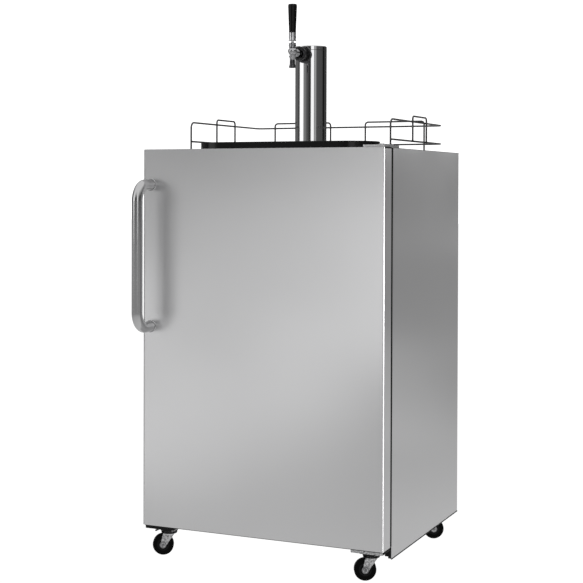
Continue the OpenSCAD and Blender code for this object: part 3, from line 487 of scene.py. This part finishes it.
def dial(at, marks, top):
    """Scale, needle and lens of a gauge that faces the front."""
    reach = 20.6
    ink, red, face, glass, bezel = (bmesh.new() for _ in range(5))
    at = Vector(at)
    lathe(face, [(0, -0.5), (reach + 0.8, -0.5), (reach + 0.8, 0.3), (0, 0.3)], at, "y", 48)
    for i in range(21):
        a = math.radians(225 - 13.5 * i)
        long = 4.0 if i % 5 == 0 else 2.2
        mid = at + Vector(((reach - 1.2 - long / 2) * math.cos(a), -0.55,
                           (reach - 1.2 - long / 2) * math.sin(a)))
        half = Vector((long / 2, 0.1, 0.32 if i % 5 == 0 else 0.18))
        block(ink, mid - half, mid + half, turn=Matrix.Rotation(-a, 3, "Y"))
        if i % 5 == 0:
            letters(ink, str(top * i // 20), at + Vector(((reach - 8.6) * math.cos(a), -0.6,
                                                         (reach - 8.6) * math.sin(a))), 4.4)
    a = math.radians(225 - 13.5 * marks)
    along = Vector((math.cos(a), 0, math.sin(a)))
    half = Vector((9.2, 0.2, 0.5))
    mid = at + along * 6.4 + Vector((0, -1.2, 0))
    block(red, mid - half, mid + half, turn=Matrix.Rotation(-a, 3, "Y"))
    lathe(red, [(0, -1.9), (2.2, -1.9), (2.2, -0.5), (0, -0.5)], at, "y", 20)
    lathe(glass, [(0, -2.6), (reach + 0.9, -2.6), (reach + 0.9, -2.0), (0, -2.0)], at, "y", 48)
    lathe(bezel, [(reach + 0.7, -2.2), (reach + 0.7, -3.4), (reach + 1.6, -4.2), (reach + 3.2, -4.2),
                  (reach + 4.2, -3.2), (reach + 4.2, 4), (reach + 3.4, 4)], at, "y", 64)
    return ink, red, face, glass, bezel


def add_gas_details():
    high_gauge, low_gauge = Vector((92, -71, 553.5)), Vector((38, -71, 499.5))
    for tag, place, reading, top in (("line", high_gauge, 5, 60), ("bottle", low_gauge, 12, 3000)):
        ink, red, face, glass, bezel = dial(place, reading, top)
        piece(f"gauge_{tag}_scale", ink, "ink_black", "cabinet")
        piece(f"gauge_{tag}_needle", red, "ink_red", "cabinet")
        piece(f"gauge_{tag}_dial", face, "dial_white", "cabinet")
        piece(f"gauge_{tag}_lens", glass, "lens", "cabinet")
        piece(f"gauge_{tag}_bezel", bezel, "chrome", "cabinet")
    bm = bmesh.new()
    lathe(bm, [(8.2, 0), (11, 0), (11, 9), (8.2, 9)], (92, -60, 462), "z", 6)
    lathe(bm, [(22, 0), (23.2, 0.6), (23.2, 3.4), (22, 4)], (92, -84, 499.5), "y", 48)
    lathe(bm, [(22, 0), (23.2, 0.6), (23.2, 3.4), (22, 4)], (92, -48, 499.5), "y", 48)
    lathe(bm, [(0, 0), (5, 0), (5, 5), (3.5, 7), (0, 7)], (112, -60, 506), "x", 6)
    tube(bm, [(116, -60, 506), (121, -60, 506)], 1.2)
    lathe(bm, [(2.4, -0.8), (4.8, -0.8), (4.8, 0.8), (2.4, 0.8)], (123, -60, 506), "y", 24)
    piece("regulator_fittings", bm, "brass", "cabinet")
    bm = bmesh.new()
    for at, axis, r in (((92, -60, 425), "z", 7.3), ((-99, 205, 352), "x", 7.3),
                        ((-150, 205, 437), "z", 5.8)):
        lathe(bm, [(r, -3.5), (r + 0.9, -3.5), (r + 0.9, 3.5), (r, 3.5)], at, axis, 40)
        ear = Vector((0, -r - 1.8, 0))
        block(bm, Vector(at) + ear - Vector((2.4, 2, 3.2)),
              Vector(at) + ear + Vector((2.4, 1, 3.2)), 0.6)
    piece("hose_clamps", bm, "zinc", "cabinet")
    bm = bmesh.new()
    lathe(bm, [(9.3, 0), (12.5, 0), (12.5, 9), (11, 10.5), (9.3, 10.5)], (-118, 205, 352), "x", 6)
    lathe(bm, [(16.2, 0), (17.6, 0.6), (17.6, 4.4), (16.2, 5)], (-150, 205, 345), "z", 40)
    lathe(bm, [(16.2, 0), (17.6, 0.6), (17.6, 4.4), (16.2, 5)], (-150, 205, 392), "z", 40)
    piece("coupler_nuts", bm, "chrome", "cabinet")
    bm = bmesh.new()
    pivot = joint_place("coupler_lever_push")
    lean = math.radians(25)
    along = Vector((0, -math.cos(lean), math.sin(lean)))
    grip_turn = along.to_track_quat("Z", "Y").to_matrix()
    for i in range(9):
        h = 50 + 5 * i
        lathe(bm, [(7.9, h - 1.6), (8.9, h - 1.2), (8.9, h + 1.2), (7.9, h + 1.6)], pivot, grip_turn, 28)
    piece("lever_grip", bm, "wheel_rubber", "coupler_lever")


BEER_ROUTE = [(0, 50, 1172), (0, 50, 1140), (0, 54, 1080), (0, 60, 1000), (0, 62, 940), (0, 70, 880),
              (-6, 95, 810), (-20, 130, 740), (-50, 165, 660), (-95, 190, 580), (-135, 202, 510),
              (-150, 205, 460), (-150, 205, 432)]
GAS_ROUTE = [(92, -60, 440), (92, -60, 415), (90, -48, 385), (86, -10, 362), (78, 40, 352),
             (64, 95, 346), (34, 145, 340), (-8, 180, 336), (-50, 200, 340), (-80, 205, 350),
             (-92, 205, 352), (-104, 205, 352)]


def add_hoses():
    """The two held hoses, along the same routes as their solids."""
    for name, route, r, material, node in (
            ("beer_hose_run", BEER_ROUTE, 5.5, "beer_hose", "beer_line"),
            ("gas_hose_run", GAS_ROUTE, 7.0, "gas_hose", "gas_line")):
        bm = bmesh.new()
        tube(bm, smooth_path(route, 8), r, 24)
        piece(name, bm, material, "cabinet", node)


# ---- Faucet details ----


def ridges(r, low, high, count, depth=0.7):
    """A profile with rounded ridges between two heights, closed on its inside."""
    step = (high - low) / count
    profile = [(r - 2, low)]
    for i in range(count):
        z = low + i * step
        profile += [(r - depth, z), (r, z + 0.3 * step), (r, z + 0.7 * step)]
    return profile + [(r - depth, high), (r - 2, high)]


def add_faucet_lever(tap):
    """Bands on the ferrule and a collar under it, which move with the lever."""
    low, high = span("tap_ferrule")
    bm = bmesh.new()
    lathe(bm, ridges(9.2, low.z + 0.2, high.z - 0.2, 4, 1.3), (tap.x, tap.y, 0), sides=48)
    piece("ferrule_bands", bm, "chrome", "tap_lever")
    bm = bmesh.new()
    lathe(bm, [(4.6, -5), (8.4, -5), (9.6, -4.2), (9.6, -2.8), (8.4, -2), (4.6, -2)],
          (tap.x, tap.y, low.z), sides=40)
    piece("lever_collar", bm, "chrome", "tap_lever")


def add_faucet_shell(tap):
    """Ball, neck, stem, ridged bonnet and flared spout in place of the plain faucet body."""
    low, high = span("faucet_body")
    upright = (tap.x, tap.y, 0)
    ball = [(10.6 * math.cos(math.radians(a)), high.z - 10 + 10.4 * math.sin(math.radians(a)))
            for a in range(-52, 60, 8)]
    bm = bmesh.new()
    lathe(bm, [(0, ball[0][1])] + ball + [(0, ball[-1][1])], upright, sides=56)
    lathe(bm, [(0, high.z - 31), (6.4, high.z - 31), (6.8, high.z - 26), (8.2, high.z - 24),
               (8.2, high.z - 21.6), (6.8, high.z - 20.6), (7.2, high.z - 17), (0, high.z - 17)],
          upright, sides=48)
    reach = span("coupling_nut")[0].y - tap.y
    lathe(bm, [(0, 0), (7.6, 0), (7.6, reach * 0.4), (9.4, reach * 0.5), (9.4, reach * 0.62),
               (7.6, reach * 0.7), (8.4, reach + 4), (0, reach + 4)],
          (tap.x, tap.y, middle("coupling_nut").z), "y", 48)
    piece("faucet_shell", bm, "shade_speckled_chrome", "cabinet", "faucet_body")

    foot, top = (corner.z for corner in span("faucet_bonnet"))
    bm = bmesh.new()
    lathe(bm, [(4.6, foot - 2)] + ridges(9.2, foot - 2, top - 0.3, 3, 1.5)[1:-1]
          + [(4.6, top - 0.3)], upright, sides=48)
    piece("bonnet_shell", bm, "shade_speckled_chrome", "cabinet", "faucet_bonnet")
    bm = bmesh.new()
    lathe(bm, [(5.2, low.z), (7.6, low.z), (8.3, low.z + 1), (7.8, low.z + 4), (6.6, low.z + 9),
               (6.4, low.z + 19.6), (5.2, low.z + 19.6)], upright, sides=40)
    piece("spout_end", bm, "shaded_chrome", "cabinet")


def add_nut_rings(tap):
    low, high = span("coupling_nut")
    height = middle("coupling_nut").z
    bm = bmesh.new()
    lathe(bm, [(11, 0), (16.6, 0), (17.4, 1), (17.4, 2.6), (16.2, 3.4), (11, 3.4)],
          (tap.x, low.y - 3, height), "y", 48)
    lathe(bm, [(15, 0), (19, 0), (20.6, 1), (20.6, 3.2), (19, 4.2), (15, 4.2)],
          (tap.x, high.y + 2.4, height), "y", 56)
    piece("nut_rings", bm, "shaded_chrome", "cabinet")


def add_faucet_details():
    tap = joint_place("tap_pull")
    add_faucet_lever(tap)
    add_faucet_shell(tap)
    add_nut_rings(tap)


# ---- Door details ----


def add_door_details():
    low, high = span("door_handle")
    face = span("door_skin")[0].y
    tube_r = 12.7
    bm = bmesh.new()
    for z in (low.z + tube_r, high.z - tube_r):
        lathe(bm, [(tube_r + 0.1, 0), (14.6, 0), (14.6, -2.2), (13.6, -3.4), (tube_r + 0.1, -3.4)],
              ((low.x + high.x) / 2, face, z), "y", 48)
    piece("handle_collars", bm, "satin_tube", "door")

    low, high = span("door_gasket")
    flange = Vector((13.5, 0, 13.5))
    low, high = low - flange, high + flange
    section = [(0, 0), (-1.5, 1.6), (-6, 2.8), (-6, 4.4), (-1.5, 5.8), (0, 7.6), (-1, 10.5),
               (-20, 10.5), (-24, 8.6), (-22, 6.2), (-18, 4.4), (-23, 2), (-24, 0)]
    bm = bmesh.new()
    rows = []
    for sx, sz in ((-1, -1), (1, -1), (1, 1), (-1, 1)):
        rows.append([bm.verts.new((
            (high.x + u) if sx > 0 else (low.x - u), low.y + d,
            (high.z + u) if sz > 0 else (low.z - u))) for u, d in section])
    for i in range(4):
        here, there = rows[i], rows[(i + 1) % 4]
        for k in range(len(section)):
            n = (k + 1) % len(section)
            bm.faces.new((here[k], there[k], there[n], here[n]))
    piece("gasket_bellows", bm, "gasket_rubber", "door", "door_gasket", angle=60)


def add_edge_trims():
    """Black strips on the lower edges of the door and the side panels."""
    low, high = span("door_skin")
    bm = bmesh.new()
    block(bm, (low.x + 3, low.y + 1, low.z - 1.6), (high.x - 22, high.y - 2, low.z - 0.1), 0.5)
    piece("door_sill", bm, "gasket_rubber", "door")
    bm = bmesh.new()
    for node, sign in (("side_panel_left", -1), ("side_panel_right", 1)):
        low, high = span(node)
        edge = sign * max(abs(low.x), abs(high.x))
        xs = sorted((edge - sign * 2.4, edge + sign * 0.5))
        block(bm, (xs[0], low.y + 0.5, low.z - 1.2), (xs[1], high.y - 0.5, low.z + 1.6), 0.4)
    piece("side_trims", bm, "gasket_rubber", "cabinet")


def add_gap_shade_and_hinge_pad():
    """A black strip round the cabinet's front edge: painted shade, which makes the gap behind the door
    dark.
    """
    low, high = span("top_panel")
    sill = span("front_frame")[0].z + 2
    front = low.y - 0.05
    bm = bmesh.new()
    for xs in ((low.x + 0.2, low.x + 11), (high.x - 11, high.x - 0.2)):
        block(bm, (xs[0], front - 1.2, sill), (xs[1], front, high.z - 0.6), 0.3)
    for zs in ((sill, sill + 9), (high.z - 9, high.z - 0.6)):
        block(bm, (low.x + 10.5, front - 1.1, zs[0]), (high.x - 10.5, front, zs[1]), 0.3)
    # Painted shade: this black strip stands where the gap behind the door is only in shadow.
    piece("gap_shade_strip", bm, "gasket_rubber", "cabinet")

    low, high = span("lower_hinge")
    bm = bmesh.new()
    block(bm, (high.x - 14, low.y + 6, low.z - 0.6), (high.x + 0.6, high.y - 4, low.z + 6.2), 0.8)
    for inner, bottom, top, shrink in ((13, 15, 5, 0), (5, 19.2, -14.5, 0.1)):
        block(bm, (high.x - inner, front - 0.9 + shrink, low.z - bottom),
              (high.x + 1.8, front + 1.6 - shrink, low.z + top), 0.5)
    piece("hinge_pad", bm, "gasket_rubber", "cabinet")


def add_door_folds():
    """The rounded folds down both sides of the door's sheet; gives back the hinge side's."""
    low, high = span("door_skin")
    inset, r = 1.2, 1.9
    folds = []
    for side, x in (("left", low.x + inset), ("right", high.x - inset)):
        bm = bmesh.new()
        y = low.y + inset
        heights = (low.z + 0.4, (low.z + high.z) / 2, high.z - 0.4)
        tube(bm, [(x, y, z) for z in heights], r, 20)
        folds.append(piece("door_fold_" + side, bm, "fold_highlight_steel", "door"))
    bm = bmesh.new()
    block(bm, (high.x - 6, low.y + 2, high.z - 2.2), (high.x + 0.35, high.y, high.z + 0.2), 0.3)
    piece("door_top_seal", bm, "gasket_rubber", "door")
    return folds[-1]


# ---- Drip tray ----


TRAY_END = 70


def tray_outline(inset, z):
    """The tray's round-ended outline, drawn in by an inset."""
    low, high = span("drip_tray")
    left, right = low.x + TRAY_END, high.x - TRAY_END
    front, back = low.y + TRAY_END, high.y - TRAY_END
    r, steps, path = TRAY_END - inset, 16, []
    for cx, cy, start in ((right, back, 0), (left, back, 90), (left, front, 180), (right, front, 270)):
        for i in range(steps + 1):
            a = math.radians(start + 90 * i / steps)
            path.append((cx + r * math.cos(a), cy + r * math.sin(a), z))
    return path


def add_tray_details():
    top = span("drip_tray")[1].z
    bm = bmesh.new()
    tube(bm, tray_outline(1.5, top - 0.9), 1.6, 12, closed=True)
    piece("tray_bead", bm, "black_tray", "drip_tray")
    face = span("drip_grille")[1].z
    bm = bmesh.new()
    for x in (-150, 150):
        lathe(bm, [(0, 0), (4.4, 0), (4.4, 0.5), (3.4, 1.3), (0, 1.6)],
              (x, middle("drip_grille").y, face))
    piece("grille_rivets", bm, "chrome", "drip_grille")


# ---- Casters ----


def add_caster_details():
    plates = bmesh.new()
    bottom = span("caster_plates")[0].z + 9
    for corner in ("front_left", "front_right", "rear_left", "rear_right"):
        swivel, roll = joint_place("swivel_" + corner), joint_place("roll_" + corner)
        axle = Vector(joints["roll_" + corner]["axis"])
        across = axle.to_track_quat("Z", "Y").to_matrix()
        for x in (-18.5, 18.5):
            for y in (-18.5, 18.5):
                bolt(plates, (swivel.x + x, swivel.y + y, bottom), "z", 3.2, -1)
        bm = bmesh.new()
        upright = (swivel.x, swivel.y, 0)
        lathe(bm, [(19.4, 57.6), (20.9, 58.2), (20.9, 62.6), (19.4, 63)], upright, sides=48)
        lathe(bm, [(17.2, 52.2), (18.6, 52.6), (19.2, 54.4), (18, 55)], upright, sides=48)
        piece(f"swivel_race_{corner}", bm, "black_enamel", "caster_" + corner)
        bm = bmesh.new()
        lathe(bm, [(0, 48.8), (3, 49), (5.6, 50.2), (6.6, 52.1), (0, 52.1)], upright)
        for s in (-1, 1):
            lathe(bm, [(5.6, s * 12), (8, s * 12), (8, s * 12.9), (5.6, s * 12.9)], roll, across, 28)
            lathe(bm, [(0, s * 13.9), (4, s * 13.9), (4, s * 14.4), (3, s * 15.2), (0, s * 15.4)],
                  roll, across, 24)
        piece(f"axle_washers_{corner}", bm, "dark_pin", "caster_" + corner)
        bm = bmesh.new()
        for s in (-1, 1):
            lathe(bm, [(9, s * 6.8), (15.4, s * 6.8), (15.4, s * 8.2), (14.2, s * 8.8), (10, s * 8.8),
                       (9, s * 8.2)], roll, across, 40)
            for i in range(8):
                turn = across @ Matrix.Rotation(math.tau * i / 8, 3, "Z")
                at = roll + turn @ Vector((11.8, 0, s * 7.6))
                block(bm, at - Vector((6.2, 1, 1)), at + Vector((6.2, 1, 1)), 0.4, turn)
        piece(f"wheel_hub_{corner}", bm, "grey_hub", "wheel_" + corner)
    piece("caster_bolts", plates, "zinc", "cabinet")


# ---- Stage ----


# How bright the floor is in reflections, near the object and far from it.
FLOOR_SHEEN = (0.7, 0.37)


def add_floor():
    bm = bmesh.new()
    bmesh.ops.create_grid(bm, x_segments=1, y_segments=1, size=30.0)
    mesh = bpy.data.meshes.new("floor")
    bm.to_mesh(mesh)
    bm.free()
    floor = bpy.data.objects.new("floor", mesh)
    scene.collection.objects.link(floor)
    mesh.materials.append(pale_floor())


def by_ray(material, seen, glossy, other):
    """A grey level for the camera's own rays, for reflections and for the soft fill."""
    path = add(material, "ShaderNodeLightPath").outputs
    inner = add(material, "ShaderNodeMix",
                {0: path["Is Glossy Ray"], 2: other, 3: glossy}).outputs[0]
    return add(material, "ShaderNodeMix",
               {0: path["Is Camera Ray"], 2: inner, 3: seen}).outputs[0]


def pale_floor():
    """A white floor that glows by itself instead of being lit, evenly for the camera, so it casts no
    shadow into the picture.
    """
    material = bpy.data.materials.new("pale_floor")
    material.use_nodes = True
    tree = material.node_tree
    tree.nodes.remove(tree.nodes["Principled BSDF"])
    spot = add(material, "ShaderNodeNewGeometry").outputs["Position"]
    away = add(material, "ShaderNodeVectorMath", {0: spot}, operation="LENGTH").outputs["Value"]
    sheen = add(material, "ShaderNodeMapRange",
                {"Value": away, 1: 0.5, 2: 3.0, 3: FLOOR_SHEEN[0], 4: FLOOR_SHEEN[1]}).outputs[0]
    glow = add(material, "ShaderNodeEmission",
               {"Color": (1, 1, 1, 1), "Strength": by_ray(material, 1.05, sheen, 0.45)})
    tree.links.new(glow.outputs[0], tree.nodes["Material Output"].inputs["Surface"])
    material.cycles.emission_sampling = "NONE"
    return material


def add_camera():
    """A nearly level camera at the front right, with its lens shifted instead of tilted."""
    position = (1.3099, -3.1684, 0.8765)
    yaw, pitch, roll = (math.radians(a) for a in (25.135, 0.619, 0.158))
    data = bpy.data.cameras.new("camera")
    data.sensor_width, data.lens = 36.0, 86.52
    data.shift_x, data.shift_y = 0.0954, -0.1527
    camera = bpy.data.objects.new("camera", data)
    turned = (Matrix.Rotation(yaw, 4, "Z") @ Matrix.Rotation(math.pi / 2 - pitch, 4, "X")
              @ Matrix.Rotation(roll, 4, "Z"))
    camera.matrix_world = Matrix.Translation(position) @ turned
    scene.collection.objects.link(camera)
    scene.camera = camera


def add_light(name, spot, aim, size, watts, lit):
    """A soft box that lights only the objects of the collection lit."""
    data = bpy.data.lights.new(name, "AREA")
    data.shape, data.size, data.size_y, data.energy = "RECTANGLE", *size, watts
    light = bpy.data.objects.new(name, data)
    light.location = spot
    light.rotation_euler = (Vector(aim) - Vector(spot)).to_track_quat("-Z", "Y").to_euler()
    light.visible_camera = False
    light.light_linking.receiver_collection = lit
    scene.collection.objects.link(light)


BOX_WIDTH = 0.32
# Upright soft boxes before the door, from left to right: x, middle height, height, watts.
FAR_BOXES = [(-1.2, 0.45, 0.3, 0.4), (-0.8, 0.45, 0.9, 0.35), (-0.4, 0.45, 0.9, 0.48),
             (-0.4, 1.05, 0.3, 0.1), (0.0, 0.6, 0.6, 0.68), (0.0, 1.05, 0.3, 0.26)]
NEAR_BOXES = [(-0.9, 0.15, 0.3, 0.2), (-0.5, 0.2, 0.4, 0.08), (-0.1, 0.4, 0.3, 0.04)]
# Square soft boxes beside the cabinet: y, height, watts. The two strong ones stand so high that the
# side panel shows them only as a glow.
SIDE_BOXES = [(1.2, 0.2, 0.14), (1.2, 1.5, 36), (2.2, 0.8, 0.12), (2.2, 1.5, 22)]


def collected(name, objects):
    """A collection of objects, for a light to light."""
    group = bpy.data.collections.new(name)
    for member in objects:
        group.objects.link(member)
    return group


def add_soft_boxes(bright_fold):
    """Soft boxes for the cabinet's sheets, and a narrow one for the door's fold."""
    sheets = collected("cabinet_sheets", [frame["nodes"][node] for node in
                                          ("door_skin", "side_panel_left", "side_panel_right")])
    for row, y, boxes in (("far", -1.45, FAR_BOXES), ("near", -0.85, NEAR_BOXES)):
        for i, (x, z, height, watts) in enumerate(boxes):
            add_light(f"{row}_light_{i}", (x, y, z), (0.3 * x, -0.25, 0.4), (BOX_WIDTH, height),
                      watts, sheets)
    for i, (y, z, watts) in enumerate(SIDE_BOXES):
        add_light(f"side_light_{i}", (0.95, y, z), (0.3, 0.1, 0.5), (0.36, 0.36), watts, sheets)
    add_light("edge_light", (1.67, -0.86, 0.5), (0.3, -0.25, 0.5), (0.14, 1.3), 55,
              collected("hinge_side_fold", [bright_fold]))


def add_studio():
    """A white room, whose reflections have the soft bright and dark uprights of a photo studio."""
    world = bpy.data.worlds.new("studio")
    world.use_nodes = True
    world.cycles.sampling_method = "NONE"
    scene.world = world
    tree = world.node_tree
    back = tree.nodes["Background"]
    way = add(world, "ShaderNodeTexCoord").outputs["Generated"]
    split = add(world, "ShaderNodeSeparateXYZ", {0: way}).outputs
    angle = add(world, "ShaderNodeMath", {0: split[1], 1: split[0]}, operation="ARCTAN2").outputs[0]
    turn = add(world, "ShaderNodeMapRange",
               {"Value": angle, 1: -math.pi, 2: math.pi, 3: 0.0, 4: 1.0}).outputs[0]
    bands = add(world, "ShaderNodeValToRGB", {0: turn})
    ramp = bands.color_ramp
    # Brightness by direction, in degrees from +X towards +Y.
    stops = [(-172, 0.12), (-168, 0.02), (-160, 0.02), (-155, 1.3), (-128, 1.3), (-122, 0.25),
             (-108, 0.22), (-100, 0.12), (-76, 0.03), (-70, 0.02), (-66, 1.2), (-48, 1.2),
             (-43, 0.12), (-38, 0.45), (-31, 0.35), (-26, 0.09), (24, 0.07), (30, 0.01),
             (44, 0.01), (50, 0.05), (105, 0.06), (120, 0.14)]
    ramp.elements[0].position, ramp.elements[1].position = 0.0, 1.0
    ramp.elements[0].color = ramp.elements[1].color = (0.13, 0.13, 0.13, 1)
    for degrees, level in stops:
        stop = ramp.elements.new((degrees + 180) / 360)
        stop.color = (level, level, level, 1)
    overhead = add(world, "ShaderNodeMapRange",
                   {"Value": split[2], 1: 0.25, 2: 0.75, 3: 0.0, 4: 1.0}).outputs[0]
    sky = add(world, "ShaderNodeMix", {0: overhead, 6: bands.outputs[0], 7: (0.9, 0.9, 0.9, 1)},
              data_type="RGBA").outputs[2]
    path = add(world, "ShaderNodeLightPath").outputs
    fill = add(world, "ShaderNodeMix",
               {0: path["Is Camera Ray"], 6: (0.75, 0.75, 0.75, 1), 7: (1.3, 1.3, 1.3, 1)},
               data_type="RGBA").outputs[2]
    seen = add(world, "ShaderNodeMix", {0: path["Is Glossy Ray"], 6: fill, 7: sky},
               data_type="RGBA").outputs[2]
    tree.links.new(seen, back.inputs[0])
    scene.view_settings.view_transform = "Standard"


# ---- The whole scene ----

make_materials()
coat_cad_nodes()
add_cabinet_details()
add_machine_bay()
add_cooling_details()
add_gas_details()
add_hoses()
add_faucet_details()
add_door_details()
add_edge_trims()
add_gap_shade_and_hinge_pad()
hinge_side_fold = add_door_folds()
add_tray_details()
add_caster_details()
add_floor()
add_camera()
add_studio()
add_soft_boxes(hinge_side_fold)
